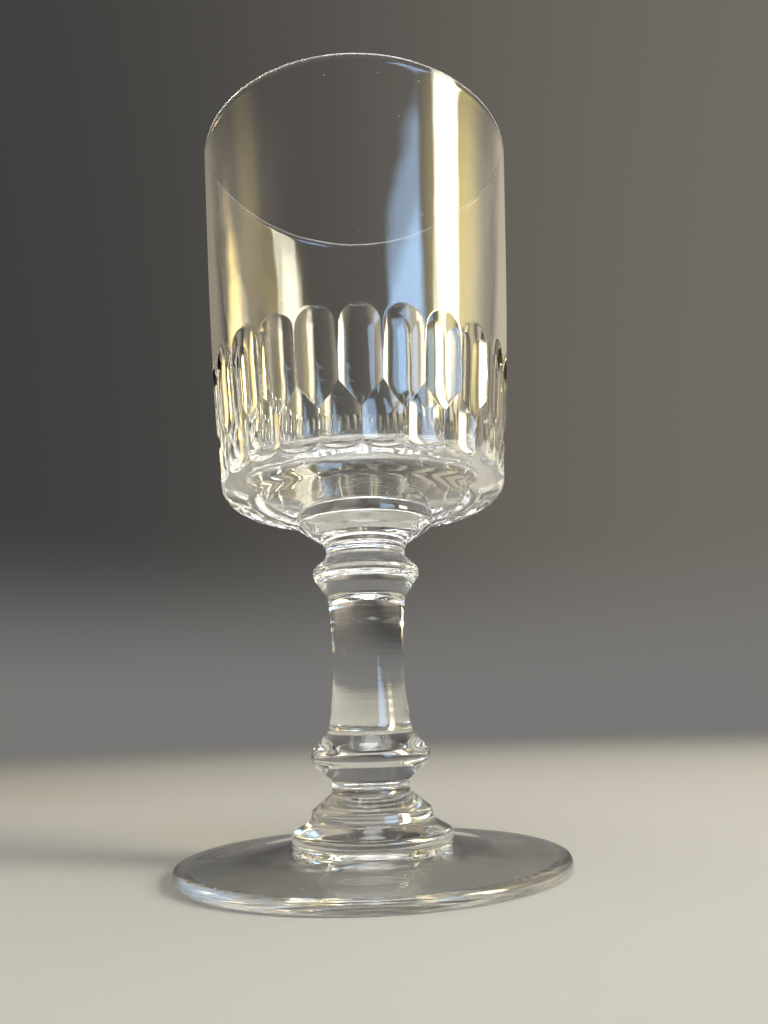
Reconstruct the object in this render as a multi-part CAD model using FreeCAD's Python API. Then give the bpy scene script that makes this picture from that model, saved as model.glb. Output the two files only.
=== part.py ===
import FreeCAD, Part
import math
import os

# Cut crystal wine glass, standing upright.
# Millimetres, +Z up. The origin is the centre of the circle that the foot rests on.
# Every piece is turned about +Z; the bowl then gets two rows of wheel-cut flutes.

Vector = FreeCAD.Vector
AXIS_POINT = Vector(0, 0, 0)
AXIS = Vector(0, 0, 1)

# Heights of the joints between the pieces, from the table up
HEIGHT = 160.0
FOOT_JOINT_Z = 5.0          # foot and its collar
LOWER_NECK_Z = 15.3         # foot collar and stem
UPPER_NECK_Z = 63.2         # stem and bowl collar
BOWL_JOINT_Z = 72.3         # bowl collar and bowl

# Foot
FOOT_R = 38.7
FOOT_EDGE = 2.4             # thickness of the glass at the foot's edge
REST_RING_R = 35.6          # inside of the flat ring that touches the table
FOOT_WALL = 2.45            # thickness of the glass halfway out
FOOT_MIDDLE_R = 26.0
FOOT_MIDDLE_Z = 3.3         # top of the foot there
FOOT_HOLLOW = 2.7           # how far the underside is hollowed at its centre

# Foot collar: a bell with a rolled lower edge
LOWER_NECK_R = 7.95
BELL_R = 12.0
FOOT_COLLAR_R = 16.1

# Stem: a solid rod, waisted, with a knop at each end
WAIST_R = 7.3
WAIST_Z = 39.5
LOWER_KNOP_R = 12.2
UPPER_KNOP_R = 11.45
UPPER_NECK_R = 8.55

# Bowl collar: a saucer under the bowl
SAUCER_R = 14.8

# Bowl
RIM_R = 36.6
RIM_WALL = 1.9
LIP_ROUND = 0.8
BELLY_R = 33.6              # outside radius where the plain wall meets the flutes
BELLY_Z = 104.0
BASE_R = 30.75              # outside radius at the bottom corner
BASE_Z = 74.1
BASE_ROUND = 5.2
BASE_WALL = 3.7             # thickness of the wall at the bottom corner
FLOOR_Z = 74.6              # bottom of the dished inside
FLOOR_EDGE_Z = 78.4         # its height where it meets the wall
FLOOR_ROUND = 8.0

# Flutes: hollow cuts round the bowl in two rows, the rows half a pitch apart.
# A row gives the heights between which its flutes have their full depth, and the
# rounding of the cut below and above that stretch.
FLUTES = 24
CUTTER_R = 12.0
RIDGE_DEPTH = 0.12          # how far the ridges between two flutes lie under the wall
LONG_END = 11.9
BLUNT_END = 3.0
UPPER_ROW = ((89.7, LONG_END), (101.0, LONG_END))
LOWER_ROW = ((79.3, BLUNT_END), (85.4, LONG_END))


def place(corner):
    """A point of an outline, (radius, height), as a point in the XZ plane."""
    return Vector(corner[0], 0, corner[1])


def line(start, end):
    return Part.LineSegment(start, end).toShape()


def arc(start, middle, end):
    return Part.Arc(start, middle, end).toShape()


def rounded_outline(corners):
    """Edges through (radius, height, rounding) corners, each rounded by its own arc."""
    edges = []
    start = place(corners[0])
    for before, corner, after in zip(corners, corners[1:], corners[2:]):
        point = place(corner)
        back = (place(before) - point).normalize()
        ahead = (place(after) - point).normalize()
        half_angle = back.getAngle(ahead) / 2
        setback = corner[2] / math.tan(half_angle)
        to_centre = (back + ahead).normalize()
        centre = point + to_centre * (corner[2] / math.sin(half_angle))
        edges.append(line(start, point + back * setback))
        start = point + ahead * setback
        edges.append(arc(point + back * setback, centre - to_centre * corner[2], start))
    edges.append(line(start, place(corners[-1])))
    return edges


def turned(edges):
    """The solid that a closed outline sweeps about the axis."""
    return Part.Face(Part.Wire(Part.sortEdges(edges)[0])).revolve(AXIS_POINT, AXIS, 360)


def closed_on_axis(edges, bottom, top):
    """The turned solid of an outline from (0, bottom) up to (0, top)."""
    return turned(edges + [line(Vector(0, 0, top), Vector(0, 0, bottom))])


def foot():
    """A low cone of even thickness with a rounded edge, resting on a flat ring."""
    outline = rounded_outline([
        (0, FOOT_HOLLOW, 0),
        (14, FOOT_HOLLOW - 0.15, 60),
        (FOOT_MIDDLE_R, FOOT_MIDDLE_Z - FOOT_WALL, 60),
        (REST_RING_R, 0, 2.0),
        (FOOT_R, 0, 1.15),
        (FOOT_R, FOOT_EDGE, 1.1),
        (FOOT_MIDDLE_R, FOOT_MIDDLE_Z, 60),
        (FOOT_COLLAR_R + 0.2, FOOT_JOINT_Z, 0.8),
        (0, FOOT_JOINT_Z, 0),
    ])
    return closed_on_axis(outline, FOOT_HOLLOW, FOOT_JOINT_Z)


def foot_collar():
    """A bell that flares to a rolled edge on the foot."""
    outline = rounded_outline([
        (0, FOOT_JOINT_Z, 0),
        (FOOT_COLLAR_R, FOOT_JOINT_Z, 0.7),
        (FOOT_COLLAR_R, 7.0, 1.1),
        (BELL_R + 0.5, 9.1, 1.4),
        (BELL_R, 11.1, 1.0),
        (LOWER_NECK_R, 14.3, 1.6),
        (LOWER_NECK_R, LOWER_NECK_Z, 0),
    ])
    top = line(Vector(LOWER_NECK_R, 0, LOWER_NECK_Z), Vector(0, 0, LOWER_NECK_Z))
    return closed_on_axis(outline + [top], FOOT_JOINT_Z, LOWER_NECK_Z)


def stem():
    """The rod with its two knops, from neck to neck."""
    bottom = line(Vector(0, 0, LOWER_NECK_Z), Vector(LOWER_NECK_R, 0, LOWER_NECK_Z))
    outline = rounded_outline([
        (LOWER_NECK_R, LOWER_NECK_Z, 0),
        (LOWER_NECK_R, 16.5, 1.5),
        (LOWER_KNOP_R + 1.1, 20.95, 2.6),
        (8.5, 26.3, 4.0),
        (WAIST_R - 0.25, WAIST_Z, 80),
        (8.25, 53.3, 4.0),
        (UPPER_KNOP_R + 0.6, 59.05, 1.8),
        (UPPER_NECK_R, 62.3, 1.9),
        (UPPER_NECK_R, UPPER_NECK_Z, 0),
    ])
    top = line(Vector(UPPER_NECK_R, 0, UPPER_NECK_Z), Vector(0, 0, UPPER_NECK_Z))
    return closed_on_axis([bottom] + outline + [top], LOWER_NECK_Z, UPPER_NECK_Z)


def bowl_collar():
    """A saucer that carries the bowl: a cone with a rounded edge."""
    bottom = line(Vector(0, 0, UPPER_NECK_Z), Vector(UPPER_NECK_R, 0, UPPER_NECK_Z))
    outline = rounded_outline([
        (UPPER_NECK_R, UPPER_NECK_Z, 0),
        (UPPER_NECK_R, 65.0, 3.3),
        (SAUCER_R, 69.1, 1.4),
        (SAUCER_R, BOWL_JOINT_Z, 0.8),
        (0, BOWL_JOINT_Z, 0),
    ])
    return closed_on_axis([bottom] + outline, UPPER_NECK_Z, BOWL_JOINT_Z)


def bowl_blank():
    """The bowl before cutting: a tapered wall, a heavy dished base and a rounded lip."""
    outline = rounded_outline([
        (0, BOWL_JOINT_Z, 0),
        (SAUCER_R, BOWL_JOINT_Z, 6.0),
        (BASE_R, BASE_Z, BASE_ROUND),
        (BELLY_R, BELLY_Z, 1200),
        (RIM_R, HEIGHT, LIP_ROUND),
        (RIM_R - RIM_WALL, HEIGHT, LIP_ROUND),
        (BASE_R - BASE_WALL, FLOOR_EDGE_Z, FLOOR_ROUND),
        (0, FLOOR_Z, 0),
    ])
    return closed_on_axis(outline, BOWL_JOINT_Z, FLOOR_Z)


def cutter(row):
    """A round-ended rod beside the wall at azimuth 0, sunk in by one flute's depth."""
    (low_z, low_round), (high_z, high_round) = row
    slope = (BELLY_R - BASE_R) / (BELLY_Z - BASE_Z)
    wall_r = BASE_R + slope * ((low_z + high_z) / 2 - BASE_Z)
    half_pitch = wall_r * math.sin(math.pi / FLUTES)
    depth = RIDGE_DEPTH + half_pitch ** 2 * (1 / CUTTER_R + 1 / wall_r) / 2
    half_length = (high_z - low_z) / 2
    rod = closed_on_axis(rounded_outline([
        (0, -half_length - low_round, 0),
        (CUTTER_R, -half_length - low_round, low_round),
        (CUTTER_R, half_length + high_round, high_round),
        (0, half_length + high_round, 0),
    ]), -half_length - low_round, half_length + high_round)
    rod.translate(Vector(CUTTER_R - depth, 0, 0))
    rod.rotate(AXIS_POINT, Vector(0, 1, 0), math.degrees(math.atan(slope)))
    rod.translate(Vector(wall_r, 0, (low_z + high_z) / 2))
    return rod


def flute_row(row, phase):
    """One cutter for each flute of a row; phase is in pitches."""
    pitch = 360 / FLUTES
    tools = []
    for index in range(FLUTES):
        tool = cutter(row)
        tool.rotate(AXIS_POINT, AXIS, (index + phase) * pitch - 90)
        tools.append(tool)
    return tools


def bowl():
    """The blank with its two rows of flutes, cut one at a time because they overlap."""
    glass = bowl_blank()
    for tool in flute_row(UPPER_ROW, 0) + flute_row(LOWER_ROW, 0.5):
        glass = glass.cut(tool)
    return glass


PIECES = {
    "foot": foot,
    "foot_collar": foot_collar,
    "stem": stem,
    "bowl_collar": bowl_collar,
    "bowl": bowl,
}

os.makedirs("parts", exist_ok=True)
for name, make in PIECES.items():
    piece = make()
    if piece.ShapeType != "Solid":
        piece = piece.Solids[0]
    piece.exportStep(f"parts/{name}.step")
    print(name, "valid" if piece.isValid() else "INVALID", round(piece.Volume), "mm3")
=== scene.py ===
"""Looks of a cut crystal wine glass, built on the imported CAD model.

The scene is in metres, +Z up, with the foot on the floor. Dimensions and outlines are in
millimetres; an outline is a list of (radius, height, rounding) corners.
"""

import math

import bpy
import numpy as np
from mathutils import Matrix, Vector

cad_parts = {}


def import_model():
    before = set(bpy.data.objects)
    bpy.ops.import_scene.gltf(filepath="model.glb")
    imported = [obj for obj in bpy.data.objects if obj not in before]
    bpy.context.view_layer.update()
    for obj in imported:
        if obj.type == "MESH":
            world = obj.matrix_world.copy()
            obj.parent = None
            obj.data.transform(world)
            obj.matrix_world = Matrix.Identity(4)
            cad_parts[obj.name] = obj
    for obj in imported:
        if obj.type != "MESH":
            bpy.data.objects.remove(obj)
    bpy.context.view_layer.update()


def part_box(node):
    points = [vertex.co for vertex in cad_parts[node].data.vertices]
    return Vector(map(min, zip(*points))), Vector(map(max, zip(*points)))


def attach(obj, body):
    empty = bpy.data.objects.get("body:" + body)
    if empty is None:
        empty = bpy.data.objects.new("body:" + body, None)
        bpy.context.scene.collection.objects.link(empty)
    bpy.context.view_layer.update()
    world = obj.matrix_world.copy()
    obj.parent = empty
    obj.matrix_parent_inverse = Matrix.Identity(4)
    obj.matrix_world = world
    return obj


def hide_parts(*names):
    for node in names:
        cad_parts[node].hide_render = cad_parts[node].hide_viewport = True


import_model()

MM = 0.001

# Joint heights and largest radii, from the CAD pieces
FOOT_JOINT_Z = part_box("foot")[1].z / MM
LOWER_NECK_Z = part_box("foot_collar")[1].z / MM
UPPER_NECK_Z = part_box("stem")[1].z / MM
BOWL_JOINT_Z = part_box("bowl_collar")[1].z / MM
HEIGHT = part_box("bowl")[1].z / MM
FOOT_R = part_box("foot")[1].x / MM
FOOT_COLLAR_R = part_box("foot_collar")[1].x / MM
SAUCER_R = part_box("bowl_collar")[1].x / MM
RIM_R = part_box("bowl")[1].x / MM

# Radii at which neighbouring pieces are fused, from the bottom joint up
COLLAR_BASE_ROUND = 0.7
SAUCER_ROUND = 0.8
FOOT_FUSED_R = FOOT_COLLAR_R - COLLAR_BASE_ROUND
LOWER_NECK_R = 7.95
UPPER_NECK_R = 8.55
BOWL_FUSED_R = SAUCER_R - SAUCER_ROUND
JOINT_SLACK = 0.01          # keeps a rounding that ends at a joint short of the joint's edge

# Foot, collars and stem
REST_RING_R = 35.6
FOOT_HOLLOW = 2.7
FOOT_WALL = 2.45
FOOT_MIDDLE_R = 26.0
FOOT_MIDDLE_Z = 3.3
FOOT_EDGE = 2.4
BELL_R = 12.0
LOWER_KNOP_R = 12.2
WAIST_R = 7.3
WAIST_Z = 39.5
UPPER_KNOP_R = 11.45

# Bowl
RIM_WALL = 1.9
LIP_ROUND = 0.8
BELLY_R = 33.6
BELLY_Z = 104.0
BASE_R = 30.75
BASE_Z = 74.1
BASE_ROUND = 5.2
BASE_WALL = 3.7
FLOOR_Z = 74.6              # bottom of the dished inside
FLOOR_EDGE_Z = 78.4         # its height where it meets the wall
FLOOR_ROUND = 8.0

# Flutes: a row gives the heights between which its cuts have their full depth, and
# the rounding of the cuts below and above that stretch
FLUTES = 24
CUTTER_R = 12.0
RIDGE_DEPTH = 0.12
LONG_END = 11.9
BLUNT_END = 3.0
UPPER_ROW = ((89.7, LONG_END), (101.0, LONG_END))
LOWER_ROW = ((79.3, BLUNT_END), (85.4, LONG_END))
FLUTES_FROM_Z = 76.0        # the cuts lie between these two heights
FLUTES_TO_Z = 107.5

# Fineness of the meshes
COLUMNS = 288               # round a turned piece
FLUTE_COLUMNS = 10          # across half a flute
FLUTE_ROWS = 14             # up each row of flutes
ROWS_UNDER = 3              # between FLUTES_FROM_Z and the cuts
ROWS_OVER = 4               # between the cuts and FLUTES_TO_Z
STEP = 1.6                  # along an outline, in mm
ARC_STEP = math.radians(7)  # along a rounded corner
FLOOR_GAP = 0.0001          # in m, so that the resting ring and the floor are two surfaces

# Glass
IOR = 1.54
GLASS_TINT = (0.985, 0.99, 0.99, 1)
WAVES_PER_M = 75.0
SPECKS_PER_M = 230.0
SPECK_EDGE = (0.05, 0.03)   # a speck fades in between these distances from a cell's point
SPECK_ROUGHNESS = 0.6
# How often the fine lines repeat in a metre along X, Y and Z
UP_THE_GLASS = (300, 300, 30)
ROUND_THE_GLASS = (12, 12, 800)
ALL_WAYS = (120, 120, 120)

# Studio, in metres and degrees
FLOOR_R = 2.0
FLOOR_FADES = (0.15, 0.9)   # distances from the glass between which the floor fades out
FLOOR_PAINT = (0.42, 0.415, 0.41, 1)
DIM_SIDE = (0.052, 0.050, 0.048, 1)
WINDOW_SIDE = (0.165, 0.150, 0.128, 1)
SIDES_MEET = (-0.5, 0.6)    # X of the directions between which the dim side turns light
COVE = (0.19, 0.185, 0.178, 1)
COVE_TOP = 0.25             # Z of the directions at which the cove ends
LIT_HEIGHT = 0.6            # where the lights point, in heights of the glass
CAMERA_BACK = 1.044         # in heights of the glass, from its axis
CAMERA_UP = 0.1845          # in heights of the glass, from the floor
LENS = 27.47                # in mm, for SENSOR
SENSOR = 36.0               # the frame's longer side, in mm
CAMERA_PITCH = 14.41
CAMERA_YAW = 1.49
CAMERA_ROLL = -1.89


# Outlines

def between(start, end, step=STEP):
    """Points from start towards end, without the end, at most a step apart."""
    count = max(1, math.ceil(np.linalg.norm(end - start) / step))
    return [start + (end - start) * i / count for i in range(count)]


def rounded_outline(corners):
    """Points (radius, height) through (radius, height, rounding) corners."""
    corners = [(np.array(corner[:2], float), corner[2]) for corner in corners]
    points = []
    start = corners[0][0]
    for (before, _), (point, rounding), (after, _) in zip(corners, corners[1:], corners[2:]):
        back = (before - point) / np.linalg.norm(before - point)
        ahead = (after - point) / np.linalg.norm(after - point)
        half_angle = math.acos(back @ ahead) / 2
        turn = math.pi - 2 * half_angle
        setback = rounding / math.tan(half_angle)
        to_centre = (back + ahead) / np.linalg.norm(back + ahead)
        centre = point + to_centre * rounding / math.sin(half_angle)
        first = point + back * setback - centre
        last = point + ahead * setback - centre
        points += between(start, centre + first)
        count = max(2, math.ceil(turn / ARC_STEP), math.ceil(turn * rounding / STEP))
        for i in range(count):
            swung = first * math.sin(turn * (1 - i / count)) + last * math.sin(turn * i / count)
            points.append(centre + swung / math.sin(turn))
        start = centre + last
    end = corners[-1][0]
    return points + between(start, end) + [end]


# Meshes

def piece(name, rings, node, glass):
    """A closed glass piece from rings of points, bottom ring first, that replaces a CAD node.

    A ring on the axis is a single point. Any other end ring is closed by a flat fused face."""
    verts, faces, flats, starts = [], [], [], []
    for ring in rings:
        starts.append(len(verts))
        on_axis = math.hypot(ring[0][0], ring[0][1]) < 1e-6
        verts.extend(ring[:1] if on_axis else ring)
    starts.append(len(verts))
    count = len(rings[1])
    for low, high, end in zip(starts, starts[1:], starts[2:]):
        for i in range(count):
            j = (i + 1) % count
            if high - low == 1:
                faces.append((low, high + j, high + i))
            elif end - high == 1:
                faces.append((low + i, low + j, high))
            else:
                faces.append((low + i, low + j, high + j, high + i))
    if starts[1] > 1:
        flats.append(tuple(reversed(range(count))))
    if starts[-1] - starts[-2] > 1:
        flats.append(tuple(range(starts[-2], starts[-1])))
    mesh = bpy.data.meshes.new(name)
    mesh.from_pydata([tuple(v) for v in verts], [], faces + flats)
    mesh.materials.append(glass)
    mesh.materials.append(fused_joint)
    for face in mesh.polygons:
        face.use_smooth = face.index < len(faces)
        face.material_index = 0 if face.use_smooth else 1
    made = bpy.data.objects.new(name, mesh)
    bpy.context.collection.objects.link(made)
    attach(made, "root")
    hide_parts(node)
    return made


def around_axis(r, z, turn):
    """A point in metres from a radius and a height in millimetres."""
    return r * MM * math.cos(turn), r * MM * math.sin(turn), z * MM


def turned_rings(outline):
    """Rings of points that an outline sweeps about the axis."""
    turns = [2 * math.pi * i / COLUMNS for i in range(COLUMNS)]
    return [[around_axis(r, z, turn) for turn in turns] for r, z in outline]


def foot_outline():
    """The hollow underside, the resting ring, the rounded edge and the low cone on top."""
    return rounded_outline([
        (0, FOOT_HOLLOW, 0),
        (14, FOOT_HOLLOW - 0.15, 60),
        (FOOT_MIDDLE_R, FOOT_MIDDLE_Z - FOOT_WALL, 60),
        (REST_RING_R, 0, 2.0),
        (FOOT_R, 0, 1.15),
        (FOOT_R, FOOT_EDGE, 1.1),
        (FOOT_MIDDLE_R, FOOT_MIDDLE_Z, 60),
        (FOOT_COLLAR_R + 0.2, FOOT_JOINT_Z, 0.8),
        (FOOT_FUSED_R, FOOT_JOINT_Z, 0),
    ])


def foot_collar_outline():
    """A bell that flares to a rolled edge on the foot."""
    return rounded_outline([
        (FOOT_FUSED_R, FOOT_JOINT_Z, 0),
        (FOOT_COLLAR_R, FOOT_JOINT_Z, COLLAR_BASE_ROUND - JOINT_SLACK),
        (FOOT_COLLAR_R, 7.0, 1.1),
        (BELL_R + 0.5, 9.1, 1.4),
        (BELL_R, 11.1, 1.0),
        (LOWER_NECK_R, 14.3, 1.6),
        (LOWER_NECK_R, LOWER_NECK_Z, 0),
    ])


def stem_outline():
    """A waisted rod with a knop at each end."""
    return rounded_outline([
        (LOWER_NECK_R, LOWER_NECK_Z, 0),
        (LOWER_NECK_R, 16.5, 1.5),
        (LOWER_KNOP_R + 1.1, 20.95, 2.6),
        (8.5, 26.3, 4.0),
        (WAIST_R - 0.25, WAIST_Z, 80),
        (8.25, 53.3, 4.0),
        (UPPER_KNOP_R + 0.6, 59.05, 1.8),
        (UPPER_NECK_R, 62.3, 1.9),
        (UPPER_NECK_R, UPPER_NECK_Z, 0),
    ])


def bowl_collar_outline():
    """A saucer under the bowl: a cone with a thick rounded edge."""
    return rounded_outline([
        (UPPER_NECK_R, UPPER_NECK_Z, 0),
        (UPPER_NECK_R, 65.0, 3.3),
        (SAUCER_R, 69.1, 1.4),
        (SAUCER_R, BOWL_JOINT_Z, SAUCER_ROUND - JOINT_SLACK),
        (BOWL_FUSED_R, BOWL_JOINT_Z, 0),
    ])


def bowl_outline():
    """The bowl before cutting, from the fused face, up the outside and down the inside."""
    return rounded_outline([
        (BOWL_FUSED_R, BOWL_JOINT_Z, 0),
        (SAUCER_R, BOWL_JOINT_Z, 6.0),
        (BASE_R, BASE_Z, BASE_ROUND),
        (BELLY_R, BELLY_Z, 1200),
        (RIM_R, HEIGHT, LIP_ROUND),
        (RIM_R - RIM_WALL, HEIGHT, LIP_ROUND),
        (BASE_R - BASE_WALL, FLOOR_EDGE_Z, FLOOR_ROUND),
        (0, FLOOR_Z, 0),
    ])


def cut_radius(row, z, turn):
    """Radius of a flute's surface at a height and at a turn from the flute's middle line."""
    (low_z, low_round), (high_z, high_round) = row
    slope = (BELLY_R - BASE_R) / (BELLY_Z - BASE_Z)
    mid_wall_r = BASE_R + slope * ((low_z + high_z) / 2 - BASE_Z)
    half_pitch = mid_wall_r * math.sin(math.pi / FLUTES)
    depth = RIDGE_DEPTH + half_pitch ** 2 * (1 / CUTTER_R + 1 / mid_wall_r) / 2
    wall_r = BASE_R + slope * (z - BASE_Z)
    past, rounding = max((low_z - z, low_round), (z - high_z, high_round), (0, LONG_END))
    if past > rounding:
        return math.inf
    rod_r = CUTTER_R - rounding + math.sqrt(rounding ** 2 - past ** 2)
    axis_r = wall_r - depth + CUTTER_R
    if rod_r < axis_r * abs(math.sin(turn)):
        return math.inf
    return axis_r * math.cos(turn) - math.sqrt(rod_r ** 2 - (axis_r * math.sin(turn)) ** 2)


def crossing(is_below, low, high):
    """The height between low and high where is_below(height) stops being true."""
    for _ in range(40):
        middle = (low + high) / 2
        if is_below(middle):
            low = middle
        else:
            high = middle
    return low


def bowl_rings():
    """The blank's rings, with the cut part's rings led along the edges of every flute."""
    outline = bowl_outline()
    top = max(range(len(outline)), key=lambda i: outline[i][1])
    outside = outline[:top]
    under = [p for p in outside if p[1] < FLUTES_FROM_Z]
    above = [p for p in outside if p[1] > FLUTES_TO_Z] + outline[top:]
    wall_z = [p[1] for p in outside]
    wall_r = [p[0] for p in outside]
    half = math.pi / FLUTES

    def wall(z):
        return float(np.interp(z, wall_z, wall_r))

    shares = [(1 - math.cos(math.pi * i / FLUTE_COLUMNS)) / 2 for i in range(FLUTE_COLUMNS + 1)]
    eased = [(1 - math.cos(math.pi * i / FLUTE_ROWS)) / 2 for i in range(FLUTE_ROWS)]
    columns = []
    for share in shares:
        up = share * half           # from the middle of an upper flute
        low = half - up             # from the middle of a lower flute
        foot_z = crossing(lambda z: cut_radius(LOWER_ROW, z, low) > wall(z),
                          FLUTES_FROM_Z, LOWER_ROW[0][0])
        zigzag_z = crossing(lambda z: cut_radius(LOWER_ROW, z, low) < cut_radius(UPPER_ROW, z, up),
                            LOWER_ROW[0][0], UPPER_ROW[1][0])
        arch_z = crossing(lambda z: cut_radius(UPPER_ROW, z, up) < wall(z),
                          UPPER_ROW[1][0], FLUTES_TO_Z)
        heights = [FLUTES_FROM_Z + (foot_z - FLUTES_FROM_Z) * i / ROWS_UNDER
                   for i in range(ROWS_UNDER)]
        heights += [foot_z + (zigzag_z - foot_z) * e for e in eased]
        heights += [zigzag_z + (arch_z - zigzag_z) * e for e in eased]
        heights += [arch_z + (FLUTES_TO_Z - arch_z) * i / ROWS_OVER for i in range(ROWS_OVER + 1)]
        columns.append([(min(wall(z), cut_radius(LOWER_ROW, z, low), cut_radius(UPPER_ROW, z, up)), z)
                        for z in heights])
    # the middle of an upper flute faces -Y; every second half flute is mirrored
    around = []
    for flute in range(FLUTES):
        middle = 2 * half * flute - math.pi / 2
        around += [(middle + share * half, column) for share, column in zip(shares[:-1], columns)]
        around += [(middle + (2 - share) * half, column)
                   for share, column in zip(shares[:0:-1], columns[:0:-1])]

    def plain(points):
        return [[around_axis(r, z, turn) for turn, _ in around] for r, z in points]

    cut = [[around_axis(*column[i], turn) for turn, column in around]
           for i in range(len(columns[0]))]
    return plain(under) + cut + plain(above)


# Materials

def linked(tree, kind, inputs=None, **values):
    """A node with its properties set and its sockets given a value or a link."""
    node = tree.nodes.new(kind)
    for name, value in values.items():
        setattr(node, name, value)
    for name, value in (inputs or {}).items():
        if isinstance(value, bpy.types.NodeSocket):
            tree.links.new(value, node.inputs[name])
        else:
            node.inputs[name].default_value = value
    return node


def crystal(name, wave_um, line_um, line_scale):
    """Clear lead crystal: soft waves, fine lines that the shaping left, and specks of dust.

    The waves and lines are given by their height in micrometres. Lines that repeat seldom
    along Z run up the glass, and lines that repeat often along Z run round it."""
    material = bpy.data.materials.new(name)
    material.use_nodes = True
    tree = material.node_tree
    shader = tree.nodes["Principled BSDF"]
    place = linked(tree, "ShaderNodeTexCoord").outputs["Object"]
    waves = linked(tree, "ShaderNodeTexNoise", {"Vector": place, "Scale": WAVES_PER_M, "Detail": 1.0})
    soft = linked(tree, "ShaderNodeBump",
                  {"Height": waves.outputs["Fac"], "Distance": wave_um * 1e-6})
    stretched = linked(tree, "ShaderNodeMapping", {"Vector": place, "Scale": line_scale})
    lines = linked(tree, "ShaderNodeTexNoise",
                   {"Vector": stretched.outputs["Vector"], "Scale": 1.0, "Detail": 2.0})
    fine = linked(tree, "ShaderNodeBump", {"Height": lines.outputs["Fac"], "Distance": line_um * 1e-6,
                                           "Normal": soft.outputs["Normal"]})
    tree.links.new(fine.outputs["Normal"], shader.inputs["Normal"])
    cells = linked(tree, "ShaderNodeTexVoronoi", {"Vector": place, "Scale": SPECKS_PER_M})
    specks = linked(tree, "ShaderNodeMapRange", {"Value": cells.outputs["Distance"],
                                                 "From Min": SPECK_EDGE[0],
                                                 "From Max": SPECK_EDGE[1],
                                                 "To Max": SPECK_ROUGHNESS})
    tree.links.new(specks.outputs["Result"], shader.inputs["Roughness"])
    shader.inputs["Base Color"].default_value = GLASS_TINT
    shader.inputs["Transmission Weight"].default_value = 1.0
    shader.inputs["IOR"].default_value = IOR
    return material


def joint_material():
    """Fused glass: nothing is seen where two pieces have become one."""
    material = bpy.data.materials.new("fused_joint")
    material.use_nodes = True
    tree = material.node_tree
    tree.nodes.remove(tree.nodes["Principled BSDF"])
    clear = linked(tree, "ShaderNodeBsdfTransparent")
    tree.links.new(clear.outputs["BSDF"], tree.nodes["Material Output"].inputs["Surface"])
    return material


fused_joint = joint_material()
bowl_crystal = crystal("bowl_crystal", wave_um=70, line_um=10, line_scale=UP_THE_GLASS)
stem_crystal = crystal("stem_crystal", wave_um=50, line_um=22, line_scale=ROUND_THE_GLASS)
foot_crystal = crystal("foot_crystal", wave_um=60, line_um=4, line_scale=ALL_WAYS)

piece("foot_glass", turned_rings(foot_outline()), "foot", foot_crystal)
piece("foot_collar_glass", turned_rings(foot_collar_outline()), "foot_collar", stem_crystal)
piece("stem_glass", turned_rings(stem_outline()), "stem", stem_crystal)
piece("bowl_collar_glass", turned_rings(bowl_collar_outline()), "bowl_collar", stem_crystal)
piece("bowl_glass", bowl_rings(), "bowl", bowl_crystal)


# Surroundings

def floor():
    """A plain pale floor that fades into the dim studio far from the glass."""
    bpy.ops.mesh.primitive_circle_add(vertices=128, radius=FLOOR_R, fill_type="NGON")
    ground = bpy.context.object
    ground.location.z = -FLOOR_GAP
    ground.name = "floor"
    material = bpy.data.materials.new("floor_paint")
    material.use_nodes = True
    tree = material.node_tree
    place = linked(tree, "ShaderNodeTexCoord").outputs["Object"]
    distance = linked(tree, "ShaderNodeVectorMath", {0: place}, operation="LENGTH").outputs["Value"]
    away = linked(tree, "ShaderNodeMapRange",
                  {"Value": distance, "From Min": FLOOR_FADES[0], "From Max": FLOOR_FADES[1]},
                  interpolation_type="SMOOTHERSTEP").outputs["Result"]
    paint = tree.nodes["Principled BSDF"]
    paint.inputs["Base Color"].default_value = FLOOR_PAINT
    paint.inputs["Roughness"].default_value = 0.9
    paint.inputs["Specular IOR Level"].default_value = 0.1
    clear = linked(tree, "ShaderNodeBsdfTransparent")
    mixed = linked(tree, "ShaderNodeMixShader", {0: away, 1: paint.outputs["BSDF"],
                                                 2: clear.outputs["BSDF"]})
    tree.links.new(mixed.outputs["Shader"], tree.nodes["Material Output"].inputs["Surface"])
    ground.data.materials.append(material)


def direction(azimuth, elevation):
    """Unit vector to a place in the studio. Azimuth 0 is the camera's side and 90 is +X."""
    a, e = math.radians(azimuth), math.radians(elevation)
    return Vector((math.sin(a) * math.cos(e), -math.cos(a) * math.cos(e), math.sin(e)))


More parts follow.
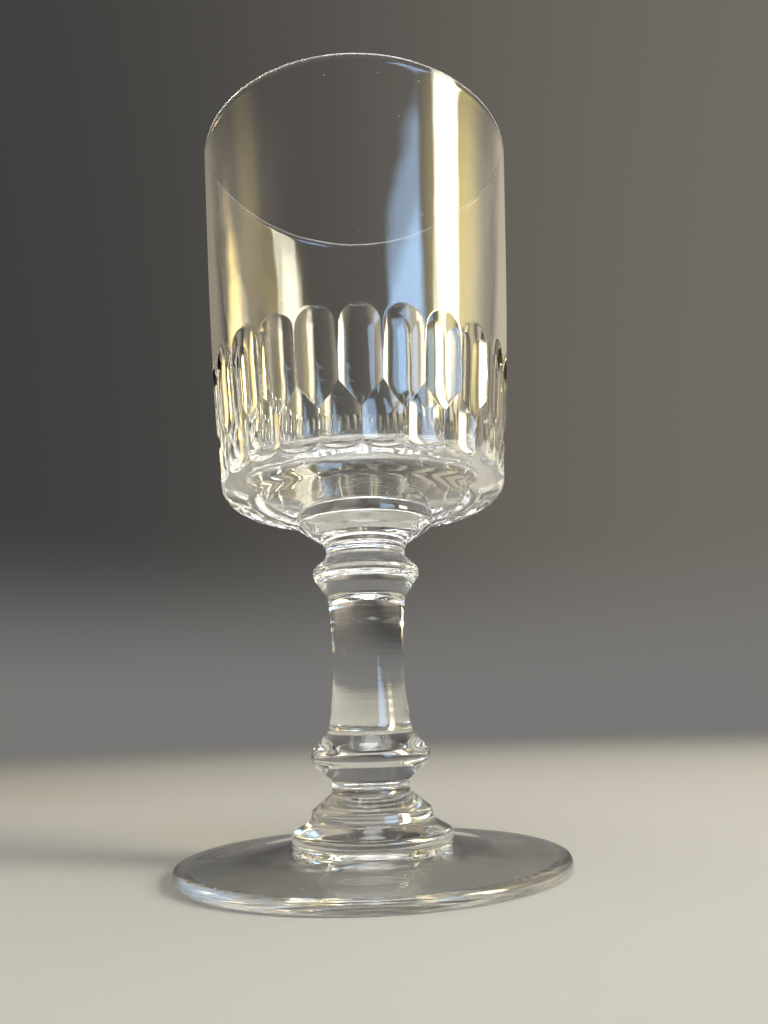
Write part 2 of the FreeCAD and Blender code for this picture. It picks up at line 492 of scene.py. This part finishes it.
def softbox(name, azimuth, elevation, size, colour, radiance, distance=1.0, roll=0.0, soft=0.3):
    """A rectangular light that faces the bowl and fades out towards its edges.

    size is (width, height) and distance is in metres. roll turns the light in its own
    plane, in degrees. soft is the share of each half that the fading takes."""
    target = Vector((0, 0, HEIGHT * MM * LIT_HEIGHT))
    light = bpy.data.lights.new(name, "AREA")
    light.shape = "RECTANGLE"
    light.size, light.size_y = size
    light.color = colour
    light.energy = radiance * size[0] * size[1] * math.pi
    light.use_nodes = True
    tree = light.node_tree
    place = linked(tree, "ShaderNodeNewGeometry").outputs["Parametric"]
    off_centre = linked(tree, "ShaderNodeVectorMath", {0: place, 1: (0.5, 0.5, 0)},
                        operation="SUBTRACT")
    spread = linked(tree, "ShaderNodeVectorMath", {0: off_centre.outputs["Vector"]},
                    operation="ABSOLUTE")
    sides = linked(tree, "ShaderNodeSeparateXYZ", {"Vector": spread.outputs["Vector"]})
    fades = [linked(tree, "ShaderNodeMapRange",
                    {"Value": sides.outputs[side], "From Min": 0.5, "From Max": 0.5 - soft / 2},
                    interpolation_type="SMOOTHSTEP").outputs["Result"] for side in ("X", "Y")]
    strength = linked(tree, "ShaderNodeMath", {0: fades[0], 1: fades[1]}, operation="MULTIPLY")
    tree.links.new(strength.outputs["Value"], tree.nodes["Emission"].inputs["Strength"])
    lamp = bpy.data.objects.new(name, light)
    back = direction(azimuth, elevation)
    turn = back.to_track_quat("Z", "Y").to_matrix() @ Matrix.Rotation(math.radians(roll), 3, "Z")
    lamp.matrix_world = Matrix.Translation(target + back * distance) @ turn.to_4x4()
    lamp.visible_camera = False
    bpy.context.collection.objects.link(lamp)


def world():
    """A dim grey studio, lighter on the window's side and where it sweeps up from the floor."""
    made = bpy.data.worlds.new("studio")
    made.use_nodes = True
    tree = made.node_tree
    place = linked(tree, "ShaderNodeTexCoord").outputs["Generated"]
    axes = linked(tree, "ShaderNodeSeparateXYZ", {"Vector": place}).outputs
    sweep = linked(tree, "ShaderNodeMapRange",
                   {"Value": axes["X"], "From Min": SIDES_MEET[0], "From Max": SIDES_MEET[1]},
                   interpolation_type="SMOOTHERSTEP").outputs["Result"]
    shade = linked(tree, "ShaderNodeMix", {"Factor": sweep}, data_type="RGBA")
    shade.inputs["A"].default_value = DIM_SIDE
    shade.inputs["B"].default_value = WINDOW_SIDE
    rise = linked(tree, "ShaderNodeMapRange",
                  {"Value": axes["Z"], "From Min": 0.0, "From Max": COVE_TOP},
                  interpolation_type="SMOOTHERSTEP").outputs["Result"]
    cove = linked(tree, "ShaderNodeMix", {"Factor": rise}, data_type="RGBA")
    cove.inputs["A"].default_value = COVE
    tree.links.new(shade.outputs["Result"], cove.inputs["B"])
    tree.links.new(cove.outputs["Result"], tree.nodes["Background"].inputs["Color"])
    bpy.context.scene.world = made


def camera():
    """Low in front of the glass, tilted up along it."""
    height = HEIGHT * MM
    pitch, yaw, roll = map(math.radians, (CAMERA_PITCH, CAMERA_YAW, CAMERA_ROLL))
    ahead = Vector((math.sin(yaw) * math.cos(pitch), math.cos(yaw) * math.cos(pitch), math.sin(pitch)))
    right = Vector((math.cos(yaw), -math.sin(yaw), 0))
    up = right.cross(ahead)
    turned_right = math.cos(roll) * right + math.sin(roll) * up
    turned_up = math.cos(roll) * up - math.sin(roll) * right
    data = bpy.data.cameras.new("camera")
    data.lens = LENS
    data.sensor_width = SENSOR
    data.clip_start = 0.005
    data.clip_end = 20.0
    eye = bpy.data.objects.new("camera", data)
    basis = Matrix((turned_right, turned_up, -ahead)).transposed()
    place = Matrix.Translation((0, -CAMERA_BACK * height, CAMERA_UP * height))
    eye.matrix_world = place @ basis.to_4x4()
    bpy.context.collection.objects.link(eye)
    bpy.context.scene.camera = eye


floor()
world()
camera()
softbox("window", 67.5, 25, (0.35, 0.78), (1.0, 0.94, 0.76), 26, soft=0.45)
softbox("window_glow", 75, 25, (1.15, 0.86), (1.0, 0.80, 0.22), 3.4, distance=1.03, soft=0.9)
softbox("sky", 37, 16, (0.58, 0.56), (0.44, 0.68, 1.0), 8, distance=1.15, roll=22, soft=0.4)
softbox("overhead", 20, 80, (0.5, 0.5), (1.0, 1.0, 1.0), 5.5, distance=0.7)
softbox("left_edge", -146, 28, (0.85, 0.75), (1.0, 0.86, 0.6), 0.24, soft=0.6)
softbox("right_edge", 146, 28, (0.85, 0.75), (1.0, 0.86, 0.62), 0.36, soft=0.6)
softbox("left_gold", -107, 18, (0.32, 0.38), (1.0, 0.72, 0.25), 9, roll=-25, soft=0.8)
softbox("left_glow", -83, 27, (0.5, 0.46), (1.0, 0.74, 0.25), 0.9, soft=0.9)

scene = bpy.context.scene
scene.view_settings.view_transform = "Standard"
scene.cycles.max_bounces = 48
scene.cycles.transmission_bounces = 48
scene.cycles.glossy_bounces = 32
scene.cycles.transparent_max_bounces = 24
